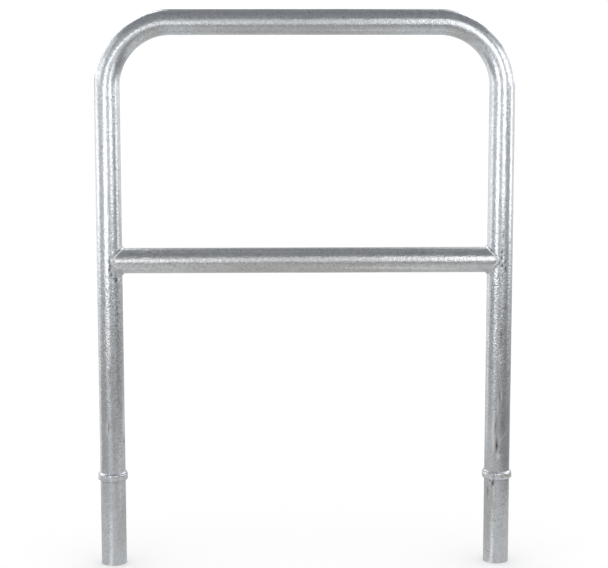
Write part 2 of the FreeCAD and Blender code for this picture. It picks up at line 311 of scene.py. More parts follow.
def zinc(name, tint, dullness, peel, pit_share, worn=0.0):
    """tint is the mean colour, dullness the mean roughness, peel the bump height in metres,
    pit_share how much of the skin is pitted, worn how rough the middle of the legs is. Each
    pattern runs from 0 to 1, and the number beside it says how strongly it shows."""
    finish = bpy.data.materials.new(name)
    board = Board(finish)
    flow = board.node("ShaderNodeAttribute", {"attribute_name": "flow"}, {}, "Vector")
    drawn = board.stretched(flow, (0.05, 1.0, 1.0))
    streaks = board.noise(drawn, 420.0, 3.0, 0.6)
    crystals = board.cells(flow, 150.0, output="Color")
    crystal_tone = board.node("ShaderNodeSeparateColor", {}, {0: crystals}, 0)
    cloud = board.noise(flow, 16.0, 3.0, 0.55)
    drain = board.noise(board.stretched(flow, (0.25, 1.0, 1.0)), 60.0, 3.0, 0.55)
    grain = board.noise(board.stretched(flow, (0.6, 1.0, 1.0)), 270.0, 2.0, 0.6)
    fine = board.noise(flow, 300.0, 2.0, 0.6)
    coarse = board.noise(board.stretched(flow, (0.7, 1.0, 1.0)), 210.0, 1.0, 0.5)
    waves = board.noise(board.stretched(flow, (0.5, 1.0, 1.0)), 85.0, 2.0, 0.5)
    pits = board.cells(flow, 165.0).ramp(0.16, 0.36, 1.0, 0.0)
    place = board.node("ShaderNodeTexCoord", {}, {}, "Object")
    height_up = board.node("ShaderNodeSeparateXYZ", {}, {0: place}, 2)
    rough_band = height_up.between(ROUGH_FROM, ROUGH_TO, ROUGH_EDGE) * worn
    pitted = (board.noise(flow, 40.0, 2.0) + rough_band).ramp(0.62 - pit_share, 0.72 - pit_share)
    pits = pits * pitted
    # shade holds real marks and also painted shade and painted highlights, added to the tone
    shade = board.node("ShaderNodeAttribute", {"attribute_name": "shade"}, {}, "Fac")
    tone = (0.48 + crystal_tone * 0.12 + cloud * 0.14 + streaks * 0.18 + drain * 0.18
            + grain * 0.48 + (grain - 0.5) * rough_band * 4.0 - pits * 0.38
            + shade * 1.6).larger(DARKEST_TONE)
    colour = board.node("ShaderNodeMix", {"data_type": "RGBA", "blend_type": "MULTIPLY"},
                        {"Factor": 1.0, 6: (*tint, 1.0), 7: board.node(
                            "ShaderNodeCombineColor", {}, {0: tone, 1: tone, 2: tone})}, 2)
    roughness = (dullness + (cloud - 0.5) * 0.16 + (streaks - 0.5) * 0.08
                 + (crystal_tone - 0.5) * 0.05 + pits * 0.12
                 + (shade - SCRATCH_SHADE).larger(0.0) * 0.9)
    height = ((coarse - 0.5) * peel * (5.0 + rough_band * 12.0)
              + (fine - 0.5) * peel * (6.0 + rough_band * 10.0)
              + (waves - 0.5) * peel * 4.0 + (streaks - 0.5) * peel * 0.8 - pits * peel * 2.4)
    bump = board.node("ShaderNodeBump", {}, {"Strength": 1.0, "Distance": 1.0, "Height": height})
    shader = board.node("ShaderNodeBsdfPrincipled", {}, {
        "Base Color": colour, "Metallic": 1.0, "Roughness": roughness.clamped(), "Normal": bump})
    board.node("ShaderNodeOutputMaterial", {}, {"Surface": shader})
    return finish


tube_zinc = zinc("tube_zinc", (0.768, 0.80, 0.835), 0.09, 0.060 * MM, 0.07, worn=0.16)
rail_zinc = zinc("rail_zinc", (0.776, 0.795, 0.808), 0.09, 0.078 * MM, 0.03)
bar_zinc = zinc("bar_zinc", (0.762, 0.79, 0.825), 0.13, 0.060 * MM, 0.10)
weld_zinc = zinc("weld_zinc", (0.742, 0.77, 0.805), 0.13, 0.075 * MM, 0.18)
print("zinc finishes:", [m.name for m in (tube_zinc, rail_zinc, bar_zinc, weld_zinc)])

# %% [markdown]
# ## The hoop
# A tube bender draws one straight tube round a former twice, so the hoop is one piece with
# two quarter bends. A curve with a bevel would draw it, but has no wall and no open ends. Here a
# loop runs up the outside skin, over the cut end and back down the bore, and is carried round
# the tube, which gives a real wall. Rows lie closer together near the rail, the rings and the
# scuffed stretch above the rings.

# %% The line of the hoop
LEG_RUN = TOP_Z - BEND_RADIUS
BEND_RUN = BEND_RADIUS * math.pi / 2
TOP_RUN = 2 * (LEG_X - BEND_RADIUS)
HOOP_RUN = 2 * LEG_RUN + 2 * BEND_RUN + TOP_RUN


def hoop_line(run):
    """Centre x and z, and outward x and z, at a distance along the hoop from its left foot: up
    the leg, round a quarter circle, along the top, and the same mirrored."""
    half = HOOP_RUN / 2
    near = np.minimum(run, HOOP_RUN - run)
    side = np.where(run < half, -1.0, 1.0)
    turn = np.clip((near - LEG_RUN) / BEND_RADIUS, 0, math.pi / 2)
    on_top = np.maximum(near - LEG_RUN - BEND_RUN, 0)
    x = LEG_X - BEND_RADIUS + BEND_RADIUS * np.cos(turn) - on_top
    z = np.minimum(near, LEG_RUN) + BEND_RADIUS * np.sin(turn)
    return side * x, z, side * np.cos(turn), np.sin(turn)


RUN_SAMPLES = 6000


def spaced_run(start, end, fine, coarse, centres, reach):
    """Stations from start to end, fine apart near the centres and coarse apart elsewhere."""
    sample = np.linspace(start, end, RUN_SAMPLES)
    near = np.min(np.abs(sample[:, None] - np.array(centres)[None, :]), 1)
    spacing = fine + (coarse - fine) * np.clip((near - reach) / reach, 0, 1)
    passed = np.concatenate([[0], np.cumsum(1 / spacing[:-1]) * (sample[1] - sample[0])])
    count = int(round(passed[-1])) + 1
    return np.interp(np.linspace(0, passed[-1], count), passed, sample)


# %% [markdown]
# ## The hoop's skin
# The loop is a list of stations with a radius at each. Where the tube was sawn square the zinc
# leaves a small soft edge, so the radius eases over it in three steps. A low swell lies on the
# outside: short ripples on a longer wave, as drawn tube has under zinc.

# %% The hoop's skin
HOOP_COLUMNS = 96
END_ROUNDING = 0.6 * MM
SCUFFED_HEIGHT = 0.33


def tube_swell(flow, long_height, seed):
    """Ripples 16 to 45 mm long, plus a wave 60 to 240 mm long of the height given."""
    return (0.050 * MM * swell(flow, 16 * MM, 45 * MM, seed)
            + long_height * swell(flow, 60 * MM, 240 * MM, seed + 1))


busy = [RING_FOOT, SCUFFED_HEIGHT, RAIL_Z]
busy = busy + [HOOP_RUN - station for station in reversed(busy)]
bends = [LEG_RUN + BEND_RUN / 2, HOOP_RUN - LEG_RUN - BEND_RUN / 2]
outer_run = spaced_run(END_ROUNDING, HOOP_RUN - END_ROUNDING,
                       fine=2.8 * MM, coarse=5.0 * MM, centres=busy, reach=90 * MM)
bore_run = spaced_run(END_ROUNDING, HOOP_RUN - END_ROUNDING,
                      fine=22 * MM, coarse=40 * MM, centres=bends, reach=120 * MM)
# over a cut end: how far each step is from the end, and how far in from the skin
edge = np.array([0.7, 0.3, 0.0]) * END_ROUNDING
edge_in = np.array([0.1, 0.45, 1.0]) * END_ROUNDING
runs = np.concatenate([outer_run, HOOP_RUN - edge, HOOP_RUN - edge[::-1],
                       bore_run[::-1], edge, edge[::-1]])
radii = np.concatenate([np.full(len(outer_run), TUBE_RADIUS), TUBE_RADIUS - edge_in,
                        BORE_RADIUS + edge_in[::-1], np.full(len(bore_run), BORE_RADIUS),
                        BORE_RADIUS + edge_in, TUBE_RADIUS - edge_in[::-1]])
turn = np.linspace(0, 2 * math.pi, HOOP_COLUMNS, endpoint=False)[None, :]
centre_x, centre_z, out_x, out_z = (part[:, None] for part in hoop_line(runs))
flow = np.stack(np.broadcast_arrays(runs[:, None], TUBE_RADIUS * np.cos(turn),
                                    TUBE_RADIUS * np.sin(turn)), -1)
outside = (radii > TUBE_RADIUS - END_ROUNDING * 0.9)[:, None]
zinc_swell = tube_swell(flow, 0.07 * MM, 11)
print("hoop stations:", len(outer_run), "outside and", len(bore_run), "down the bore")

# %% [markdown]
# ## Runs, scuffs and pits
# Zinc that drains down the legs sets as long thin runs with a heavier drop at the lower end.
# They are mounds laid along the lower half of each leg, each a few millimetres wide. Handling
# adds scuffs and pits, which are placed one by one: most are above the right ring and beside
# the rail's ends. A thin dark line under each ring is painted shadow, where the ring shades the
# leg.

# %% Runs down the legs
FRONT = math.pi / 2
RUNS_PER_LEG = 16
MARK_STRENGTH = 1.5
# painted shadow under each ring: how far below its foot, how wide and how dark
SHADOW_BELOW_RING, SHADOW_LINE_WIDTH, PAINTED_SHADOW_UNDER_RING = 1.5 * MM, 2.4 * MM, 0.16
random_run = np.random.default_rng(31)
run_places = []
for leg_start, direction in ((0.0, 1), (HOOP_RUN, -1)):
    for _ in range(RUNS_PER_LEG):
        height = random_run.uniform(0.02, 0.62)
        side = random_run.uniform(-math.pi, math.pi)
        length = random_run.uniform(22, 60) * MM
        run_places.append((leg_start + direction * height, side, length,
                           random_run.uniform(0.05, 0.09), random_run.uniform(0.10, 0.26) * MM, 0))
        drop_at = leg_start + direction * (height - length * 0.9)
        run_places.append((drop_at, side, 7 * MM, 0.10, 0.20 * MM, 0))
# leg (-1 left, 1 right), height in metres, turn from the front, half length in mm, half width
# as a turn, rise in mm, lean, how much lighter (+) or darker (-)
LEG_MARKS = [
    (1, 0.292, -0.16, 15, 0.07, -0.30, 0.0, -0.42),
    (1, 0.300, -0.42, 20, 0.08, 0.50, 0.0, 0.30),
    (1, 0.269, -0.02, 7, 0.18, 0.42, 0.0, 0.30),
    (1, 0.274, 0.10, 5, 0.07, -0.20, 0.0, -0.30),
    (1, 0.340, -0.46, 23, 0.12, 0.34, 3.0, 0.20),
    (1, 0.340, -0.26, 18, 0.06, -0.20, 3.0, -0.26),
    (1, 0.345, 0.25, 22, 0.25, 0.0, 0.0, -0.08),
    (1, 0.413, 0.15, 13, 0.06, 0.30, -3.0, 0.32),
    (1, 0.413, 0.03, 15, 0.06, 0.0, -3.0, -0.26),
    (1, 0.388, -0.12, 15, 0.06, 0.30, 2.0, 0.28),
    (1, 0.318, 0.50, 13, 0.08, 0.20, 26.0, 0.34),
    (1, 0.199, -0.42, 6, 0.10, 0.50, 0.0, -0.42),
    (1, 0.178, -0.34, 18, 0.07, 0.40, 0.0, 0.22),
    (1, 0.180, -0.90, 14, 0.14, 0.20, 0.0, -0.16),
    (1, 0.560, 0.10, 24, 0.10, 0.10, 1.0, -0.20),
    (1, 0.500, -0.05, 20, 0.07, 0.20, 0.0, 0.20),
    (-1, 0.352, 1.15, 24, 0.09, 0.30, 0.0, 0.30),
    (-1, 0.338, -0.36, 13, 0.07, 0.35, 0.0, 0.28),
    (-1, 0.340, -0.20, 12, 0.06, 0.0, 0.0, -0.24),
    (-1, 0.302, 1.20, 5, 0.10, 0.20, 0.0, -0.30),
    (-1, 0.470, -0.05, 18, 0.08, 0.0, 1.0, -0.22),
    (-1, 0.739, 0.07, 4, 0.08, -0.15, 0.0, -0.36),
    (-1, 0.729, 0.15, 4, 0.08, -0.15, 0.0, -0.34),
    (-1, 0.719, 0.08, 5, 0.08, -0.15, 4.0, -0.36),
    (-1, 0.707, 0.20, 5, 0.10, -0.10, 4.0, -0.26),
    (-1, 0.725, -0.06, 6, 0.07, 0.15, 0.0, 0.26),
    (-1, 0.694, 0.55, 7, 0.12, -0.10, 0.0, -0.24),
    (1, 0.757, 0.04, 5, 0.08, -0.15, 0.0, -0.36),
    (1, 0.744, 0.02, 5, 0.09, -0.15, -4.0, -0.38),
    (1, 0.735, 0.31, 4, 0.08, -0.15, 0.0, -0.32),
    (1, 0.726, 0.08, 5, 0.09, -0.15, 0.0, -0.36),
    (1, 0.718, 0.34, 5, 0.08, -0.10, 0.0, -0.28),
    (1, 0.738, 0.17, 8, 0.06, 0.15, 0.0, 0.24),
    (1, 0.798, 0.12, 6, 0.07, -0.10, 3.0, -0.26),
    (1, 0.700, 0.10, 8, 0.07, -0.10, 3.0, -0.24),
]
shade_places = []
for leg, height, front_turn, length, width, rise, lean, light in LEG_MARKS:
    place = HOOP_RUN - height if leg > 0 else height
    side = FRONT - leg * front_turn
    run_places.append((place, side, length * MM, width, rise * MM, lean))
    shade_places.append((place, side, length * MM, width, light * MARK_STRENGTH, lean))
wrapped_turn = (turn + math.pi) % (2 * math.pi) - math.pi
zinc_runs = bumps(runs[:, None], wrapped_turn, run_places)
hoop_shade = bumps(runs[:, None], wrapped_turn, shade_places)
# painted shadow: a thin dark line on the leg just under each ring, where the ring shades it
from_ring_shadow = (np.minimum(runs, HOOP_RUN - runs) - RING_FOOT + SHADOW_BELOW_RING) / SHADOW_LINE_WIDTH
hoop_shade = np.where(outside, hoop_shade - PAINTED_SHADOW_UNDER_RING * np.exp(-from_ring_shadow ** 2)[:, None], 0)
radius = radii[:, None] + np.where(outside, zinc_swell + zinc_runs, 0)
hoop_grid = np.stack([centre_x + radius * np.cos(turn) * out_x,
                      -radius * np.sin(turn),
                      centre_z + radius * np.cos(turn) * out_z], -1)
add_wrapped("hoop_tube_zinc", hoop_grid, flow, tube_zinc, "hoop_tube",
            hoop_shade)

# %% [markdown]
# ## The cross rail
# The rail is the same tube, its ends cut to a saddle so that they sit on the round legs. A
# Boolean would cut them, but leaves ragged faces. The saddle has a formula: at each place round
# the rail, the end stands back from the leg's axis by the leg's half width there.

# %% The rail
RAIL_ROWS = 280
RAIL_BORE_ROWS = 30
COPE_GAP = 0.5 * MM


def rail_skin(radius, count):
    """Rows from the left saddle to the right one, at one radius round the rail."""
    y = radius * np.cos(turn)
    y = np.minimum(np.abs(y), TUBE_RADIUS)
    reach = LEG_X - np.sqrt((TUBE_RADIUS + COPE_GAP) ** 2 - y ** 2)
    return np.linspace(-1, 1, count)[:, None] * reach


rail_x = np.vstack([rail_skin(TUBE_RADIUS, RAIL_ROWS),
                    rail_skin(BORE_RADIUS, RAIL_BORE_ROWS)[::-1]])
rail_radius = np.concatenate([np.full(RAIL_ROWS, TUBE_RADIUS),
                              np.full(RAIL_BORE_ROWS, BORE_RADIUS)])[:, None]
# every piece's flow starts somewhere else, so that no two pieces share a pattern
rail_flow = np.stack(np.broadcast_arrays(rail_x + 9.0, TUBE_RADIUS * np.cos(turn),
                                         TUBE_RADIUS * np.sin(turn)), -1)
rail_swell = tube_swell(rail_flow, 0.06 * MM, 21)
rail_full = rail_radius + np.where(rail_radius > BORE_RADIUS, rail_swell, 0)
rail_grid = np.stack([rail_x, -rail_full * np.cos(turn), RAIL_Z + rail_full * np.sin(turn)], -1)
add_wrapped("cross_rail_zinc", rail_grid, rail_flow, rail_zinc,
            "cross_rail")

# %% [markdown]
# ## The saddle welds
# A welder runs one bead round the joint between rail and leg. Its line is where the two tubes
# meet, a curve that wraps the leg. Laid in short steps, the bead shows a ripple for each step.
# The bead is a round section carried round that line and sunk into the corner, with its radius
# rising and falling along it.

# %% The saddle beads
BEAD_RADIUS = 6.2 * MM
BEAD_SINK_CROTCH = 2.5 * MM
BEAD_SINK_SIDE = 4.6 * MM
BEAD_TIP = 8.0 * MM
BEAD_ROWS = 400
BEAD_COLUMNS = 48
RIPPLES = 62
RIPPLE_HEIGHT = 0.22 * MM
RIPPLE_SKEW = 2.1
LUMP_HEIGHT = 0.42 * MM


def unit(vectors):
    return vectors / np.linalg.norm(vectors, axis=-1, keepdims=True)


def saddle_bead(side, seed):
    """Centre line: reach from the leg = hypot(tip cos a, R sin a), y = R cos a, z = R sin a, pushed
    into the corner. The section is a circle across that line, with its radius rippled."""
    a = np.linspace(0, 2 * math.pi, BEAD_ROWS, endpoint=False)
    reach = np.hypot(BEAD_TIP * np.cos(a), TUBE_RADIUS * np.sin(a))
    line = np.stack([reach, TUBE_RADIUS * np.cos(a), TUBE_RADIUS * np.sin(a)], -1)
    from_leg = unit(np.stack([reach, TUBE_RADIUS * np.cos(a), np.zeros_like(a)], -1))
    from_rail = np.stack([np.zeros_like(a), np.cos(a), np.sin(a)], -1)
    inward = -unit(from_leg + from_rail)
    sink = BEAD_SINK_SIDE * np.cos(a) ** 2 + BEAD_SINK_CROTCH * np.sin(a) ** 2
    line = line + inward * sink[:, None]
    along = unit(np.roll(line, -1, 0) - np.roll(line, 1, 0))
    first = unit(inward - along * np.sum(inward * along, -1, keepdims=True))
    second = np.cross(along, first)
    b = np.linspace(0, 2 * math.pi, BEAD_COLUMNS, endpoint=False)[None, :]
    section = (np.cos(b)[..., None] * first[:, None, :]
               + np.sin(b)[..., None] * second[:, None, :])
    ripple = 0.5 - 0.5 * np.cos(RIPPLES * a[:, None] + RIPPLE_SKEW * np.cos(b))
    lumps = swell(line[:, None, :] + BEAD_RADIUS * section, 7 * MM, 22 * MM, seed)
    radius = BEAD_RADIUS + RIPPLE_HEIGHT * ripple + LUMP_HEIGHT * lumps
    grid = line[:, None, :] + radius[..., None] * section
    flow = grid + np.array([20.0 + side, 0, 0])
    grid = grid * np.array([-side, 1, 1]) + np.array([side * LEG_X, 0, RAIL_Z])
    return grid, flow


for label, side, seed in (("left", -1, 41), ("right", 1, 42)):
    bead_grid, bead_flow = saddle_bead(side, seed)
    add_wrapped(f"rail_weld_{label}_zinc", bead_grid, bead_flow, weld_zinc,
                f"rail_weld_{label}")

# %% [markdown]
# ## The stop rings
# Each ring is flat bar rolled round the leg until its ends nearly meet. Zinc rounds its edges
# over. A torus would be too round and a plain band too sharp, so the section is a squared-off
# oval, carried round from one end of the joint to the other, and closed at each end.

# %% The rings
RING_BAR = 5.0 * MM
RING_CLEARANCE = 0.25 * MM
RING_SQUARENESS = 4.0
JOINT_AT = math.radians(-19)
JOINT_HALF = 1.5 * MM / (TUBE_RADIUS + RING_BAR / 2)
RING_ROWS = 260
RING_COLUMNS = 48
RING_END_ROWS = 3
SMALLEST_END = 0.02
GLINT_HALF_TURN = 0.32
# label, side, seed, turn of the painted highlight, how much lighter the whole ring is painted
RINGS = (("left", -1, 51, -0.80, 0.06), ("right", 1, 53, 0.75, 0.17))


def squared_oval(b, half_width, half_height, squareness):
    """A superellipse: each half size times cos or sin raised to the power 2 / squareness."""
    power = 2 / squareness
    across = half_width * np.sign(np.cos(b)) * np.abs(np.cos(b)) ** power
    up = half_height * np.sign(np.sin(b)) * np.abs(np.sin(b)) ** power
    return across, up


def painted_glint(a, at):
    """A painted highlight round the leg, centred at one turn from the front, one in its middle."""
    off = (a - at + math.pi) % (2 * math.pi) - math.pi
    return np.exp(-(off / GLINT_HALF_TURN) ** 2)


def round_leg(side, a, radial, height):
    """Points round a leg: a is the turn from the front, radial the distance from its axis."""
    return np.stack(np.broadcast_arrays(side * LEG_X + radial * np.sin(a),
                                        -radial * np.cos(a), height), -1)


def stop_ring(side, seed, highlight_at, light):
    """The squared oval carried round the leg's axis, shrinking to a pole over its last rows. Its
    edges are darker as painted shade for its shadowed corners, one patch near the top is a painted
    highlight, and the whole ring is lightened as painted light."""
    progress = np.linspace(0, 1, RING_ROWS)
    a = JOINT_AT + JOINT_HALF + progress * (2 * math.pi - 2 * JOINT_HALF)
    b = np.linspace(0, 2 * math.pi, RING_COLUMNS, endpoint=False)[None, :]
    across, up = squared_oval(b, RING_BAR / 2, RING_HEIGHT / 2, RING_SQUARENESS)
    to_end = np.minimum(progress, 1 - progress) * (RING_ROWS - 1) / RING_END_ROWS
    shrink = np.sqrt(1 - (1 - np.clip(to_end, 0, 1)) ** 2)[:, None]
    shrink = shrink * (1 - SMALLEST_END) + SMALLEST_END
    middle = TUBE_RADIUS + RING_CLEARANCE + RING_BAR / 2
    rough = np.stack(np.broadcast_arrays(middle * np.sin(a)[:, None],
                                         middle * np.cos(a)[:, None], up), -1)
    wander = 0.30 * MM * swell(rough, 9 * MM, 30 * MM, seed)
    lift = 0.25 * MM * swell(rough, 20 * MM, 60 * MM, seed + 1)
    radial = middle + across * shrink + np.where(across > 0, wander, 0)
    height = RING_FOOT + RING_HEIGHT / 2 + up * shrink + lift
    grid = round_leg(side, a[:, None], radial, height)
    flow = np.stack(np.broadcast_arrays(a[:, None] * middle + 30 + side, radial, height), -1)
    level = up / (RING_HEIGHT / 2)
    # painted light over the whole ring, less painted shade at its top and bottom edges
    shade = light - 0.13 * np.clip((np.abs(level) - 0.72) / 0.24, 0, 1)
    # a painted highlight near the top
    shade = shade + 0.16 * painted_glint(a, highlight_at)[:, None] * np.exp(-((level - 0.4) / 0.5) ** 2)
    return grid, flow, shade


for label, side, seed, highlight_at, light in RINGS:
    ring_grid, ring_flow, ring_shade = stop_ring(side, seed, highlight_at, light)
    add_capped(f"stop_ring_{label}_zinc", ring_grid, ring_flow, bar_zinc,
               f"stop_ring_{label}", ring_shade)

# %% [markdown]
# ## The ring welds
# A small fillet on top of each ring holds it to the leg. It is laid by hand round a thin edge,
# so its height wanders more than the saddle bead's. Its section is an oval that sits in the
# corner between leg and ring, and its size wanders round the leg.

# %% The fillets on the rings
FILLET_ACROSS = 2.9 * MM
FILLET_UP = 2.9 * MM
FILLET_ROWS = 300
FILLET_COLUMNS = 36
FILLET_RIPPLES = 44
PAINTED_CREASE_SHADE = 0.36
# label, side, seed, turn of the painted highlight, how much taller towards the right
FILLETS = (("left", -1, 61, -0.80, 0.30), ("right", 1, 64, 0.75, -0.35))


def ring_weld(side, seed, highlight_at, taller):
    """An oval in the corner above the ring, its two half sizes wandering and rippled round the leg.
    It is taller towards the right if taller is above zero. Its crease on the ring is darker as
    painted shade, and one patch on it is a painted highlight."""
    a = np.linspace(0, 2 * math.pi, FILLET_ROWS, endpoint=False)[:, None]
    b = np.linspace(0, 2 * math.pi, FILLET_COLUMNS, endpoint=False)[None, :]
    spot = np.stack(np.broadcast_arrays(TUBE_RADIUS * np.sin(a),
                                        TUBE_RADIUS * np.cos(a), 0 * b), -1)
    wander = swell(spot, 12 * MM, 40 * MM, seed)
    ripple = RIPPLE_HEIGHT * (0.5 - 0.5 * np.cos(FILLET_RIPPLES * a + 1.6 * np.sin(b)))
    across = FILLET_ACROSS * (1 + 0.16 * wander) + ripple
    up = FILLET_UP * (1 + 0.18 * wander + taller * np.sin(a)) + ripple
    radial = TUBE_RADIUS + 0.8 * MM + across * np.cos(b)
    height = RING_FOOT + RING_HEIGHT + 0.3 * MM + up * np.sin(b)
    flow = np.stack(np.broadcast_arrays(a * TUBE_RADIUS + 40 + side, radial, height), -1)
    # painted shade in the crease on the ring, and a painted highlight
    from_crease = (b + 0.1 + math.pi) % (2 * math.pi) - math.pi
    shade = 0.30 * painted_glint(a, highlight_at) - PAINTED_CREASE_SHADE * np.exp(-(from_crease / 0.5) ** 2)
    return round_leg(side, a, radial, height), flow, shade


for label, side, seed, highlight_at, taller in FILLETS:
    fillet_grid, fillet_flow, fillet_shade = ring_weld(side, seed, highlight_at, taller)
    add_wrapped(f"ring_weld_{label}_zinc", fillet_grid, fillet_flow, weld_zinc,
                f"ring_weld_{label}", fillet_shade)

# %% [markdown]
# ## The joint in each ring
# Weld metal closes the gap between the ring's two ends and stands a little proud of the bar.
# It is a blob, widest in the middle, so it is a squared oval whose half sizes shrink to a pole
# at the top and at the bottom.

# %% The butt welds
BUTT_ROWS = 60
BUTT_COLUMNS = 36
BUTT_HALF_WIDTH = 2.6 * MM
BUTT_HALF_DEPTH = 3.1 * MM
BUTT_PROUD = 0.3 * MM


def butt_weld(side, seed, drip):
    """Rows up the blob: both half sizes are times sqrt(1 - rise^4), so they shrink to a pole at
    each end, and drip pulls the lower end down."""
    rise = np.linspace(-0.995, 0.995, BUTT_ROWS)[:, None]
    b = np.linspace(0, 2 * math.pi, BUTT_COLUMNS, endpoint=False)[None, :]
    swollen = (1 - rise ** 4) ** 0.5
    up = (RING_FOOT + RING_HEIGHT / 2 + rise * RING_HEIGHT * 0.46
          - drip * np.maximum(-rise, 0) ** 3)
    around = BUTT_HALF_WIDTH * swollen * np.cos(b)
    outward = (TUBE_RADIUS + RING_CLEARANCE + RING_BAR / 2 + BUTT_PROUD
               + BUTT_HALF_DEPTH * swollen * np.sin(b))
    spot = np.stack(np.broadcast_arrays(around, outward, up), -1)
    outward = outward + 0.25 * MM * swell(spot, 4 * MM, 12 * MM, seed)
    a = JOINT_AT + around / (TUBE_RADIUS + RING_BAR / 2)
    return round_leg(side, a, outward, up), spot + np.array([50.0 + side, 0, 0])


for label, side, seed, drip in (("left", -1, 71, 0.2 * MM), ("right", 1, 72, 0.8 * MM)):
    butt_grid, butt_flow = butt_weld(side, seed, drip)
    add_capped(f"ring_butt_weld_{label}_zinc", butt_grid, butt_flow, weld_zinc,
               f"ring_butt_weld_{label}")

# %% [markdown]
# ## The floor
# A pale, matt floor lets the legs stand on something without drawing the eye. Its edges lie
# far outside any view. It takes soft shadow but does not show in the metal, because the
# studio below is what the metal mirrors.

# %% A pale floor
FLOOR_HALF = 30.0
floor_mesh = bpy.data.meshes.new("floor")
floor_corners = [(-FLOOR_HALF, -FLOOR_HALF, 0), (FLOOR_HALF, -FLOOR_HALF, 0),
                 (FLOOR_HALF, FLOOR_HALF, 0), (-FLOOR_HALF, FLOOR_HALF, 0)]
floor_mesh.from_pydata(floor_corners, [], [(0, 1, 2, 3)])
floor = bpy.data.objects.new("floor", floor_mesh)
bpy.context.scene.collection.objects.link(floor)
pale = bpy.data.materials.new("pale_floor")
pale_board = Board(pale)
pale_shader = pale_board.node("ShaderNodeBsdfPrincipled", {}, {
    "Base Color": (0.95, 0.95, 0.95, 1), "Roughness": 1.0, "Specular IOR Level": 0.0})
pale_board.node("ShaderNodeOutputMaterial", {}, {"Surface": pale_shader})
floor_mesh.materials.append(pale)
floor.visible_glossy = False

# %% [markdown]
# ## The studio
# Bright metal shows the room more than itself. Lamps alone would leave thin hot lines with
# nothing between, so the room is built: a round wall and a ground that glow softly, near enough
# that each leg, the rail and the top see them at slightly different angles. Only the metal sees
# them. White panels hang on the wall, and each is given by its turn from the camera's side, its
# height, how bright it looks in zinc (above 255 is brighter than white), and how soft its edges
# are. All other light is plain white.

# %% How bright a panel looks
STUDIO_RADIUS = 2.5
WALL_TOP = 7.0
ZINC_MIRROR = 0.74
DEGREES = 180 / math.pi


def glow(level):
    """Light that, mirrored in zinc, shows as this 0-255 screen level."""
    part = level / 255
    linear = part / 12.92 if part <= 0.04045 else ((part + 0.055) / 1.055) ** 2.4
    return linear / ZINC_MIRROR


def spot_on(board):
    """Three wires: how far right, back and up a spot of the studio is, in metres."""
    spot = board.node("ShaderNodeTexCoord", {}, {}, "Object")
    split = board.node("ShaderNodeSeparateXYZ", {}, {0: spot}, 0).socket.node
    return [Wire(board, split.outputs[k]) for k in range(3)]


def turn_from_camera(right, back):
    """The turn in degrees from the camera's side, positive to the right."""
    return right.maths("ARCTAN2", 0.0 - back) * DEGREES


def glowing(name, board, level, warm, cool):
    """Ends a board as plain glowing stuff, a little warmer or cooler than white."""
    colour = board.node("ShaderNodeCombineColor", {}, {
        0: level * (1.0 + warm * 0.008 - cool * 0.025), 1: level,
        2: level * (1.0 - warm * 0.018 + cool * 0.030)})
    board.node("ShaderNodeOutputMaterial", {}, {
        "Surface": board.node("ShaderNodeEmission", {}, {"Color": colour, "Strength": 1.0})})
    print(name, "has", len(board.tree.nodes), "nodes")


def only_in_metal(studio_piece):
    """Shows the piece in mirror reflections and nowhere else."""
    bpy.context.scene.collection.objects.link(studio_piece)
    for seen in ("camera", "diffuse", "transmission", "volume_scatter", "shadow"):
        setattr(studio_piece, f"visible_{seen}", False)


# %% [markdown]
# ## The wall and its panels
# The wall is darkest at the skirting and towards the ceiling. The two tall panels behind fill
# the outer edges of both legs with white; the smaller ones in front draw the narrow bright
# lines down their faces.

# %% The wall and its panels
# left turn, right turn (degrees), low, high (metres), screen level, turn softness, height softness
PANELS = [
    (-163, -112, 1.25, 4.60, 268, 12, 0.50),
    (-163, -140, 4.40, 5.10, 200, 14, 0.60),
    (-122, -86, 2.60, 3.80, 182, 20, 1.00),
    (-116, -90, 1.70, 2.85, 240, 10, 0.60),
    (-95, -56, 1.80, 2.95, 193, 14, 1.20),
    (112, 147, 1.10, 4.70, 268, 12, 0.50),
    (138, 160, 1.15, 3.50, 268, 10, 0.40),
    (116, 162, 4.55, 5.40, 212, 16, 0.60),
    (156, 171, 2.60, 3.40, 218, 8, 0.40),
    (86, 118, 2.30, 3.60, 192, 18, 1.00),
    (-195, -158, -0.20, 1.85, 189, 12, 0.50),
    (158, 195, -0.10, 2.30, 178, 12, 0.60),
    (-172, -100, -0.50, 0.50, 197, 12, 0.40),
    (-166, -88, 0.20, 1.25, 213, 10, 0.50),
    (104, 166, 0.45, 1.25, 198, 10, 0.50),
    (-112, -84, 0.48, 1.10, 254, 8, 0.30),
    (-114, -98, 1.00, 1.75, 246, 8, 0.40),
    (-100, -58, 1.12, 2.05, 234, 8, 0.40),
    (-46, -14, 0.26, 0.94, 272, 7, 0.16),
    (-35, -12, 0.80, 1.46, 272, 7, 0.20),
    (13, 39, 0.60, 1.98, 270, 6, 0.30),
    (6, 35, 1.70, 2.60, 219, 9, 0.70),
    (40, 46, 0.60, 0.98, 222, 5, 0.24),
    (52, 80, 1.14, 2.22, 268, 5, 0.24),
    (56, 78, 1.90, 2.75, 216, 8, 0.50),
    (81, 102, 0.52, 1.12, 270, 6, 0.20),
    (80, 90, 1.00, 1.45, 270, 6, 0.20),
    (82, 112, 1.10, 2.35, 214, 8, 0.50),
    (-10, 10, 0.82, 2.12, 180, 6, 0.40),
]
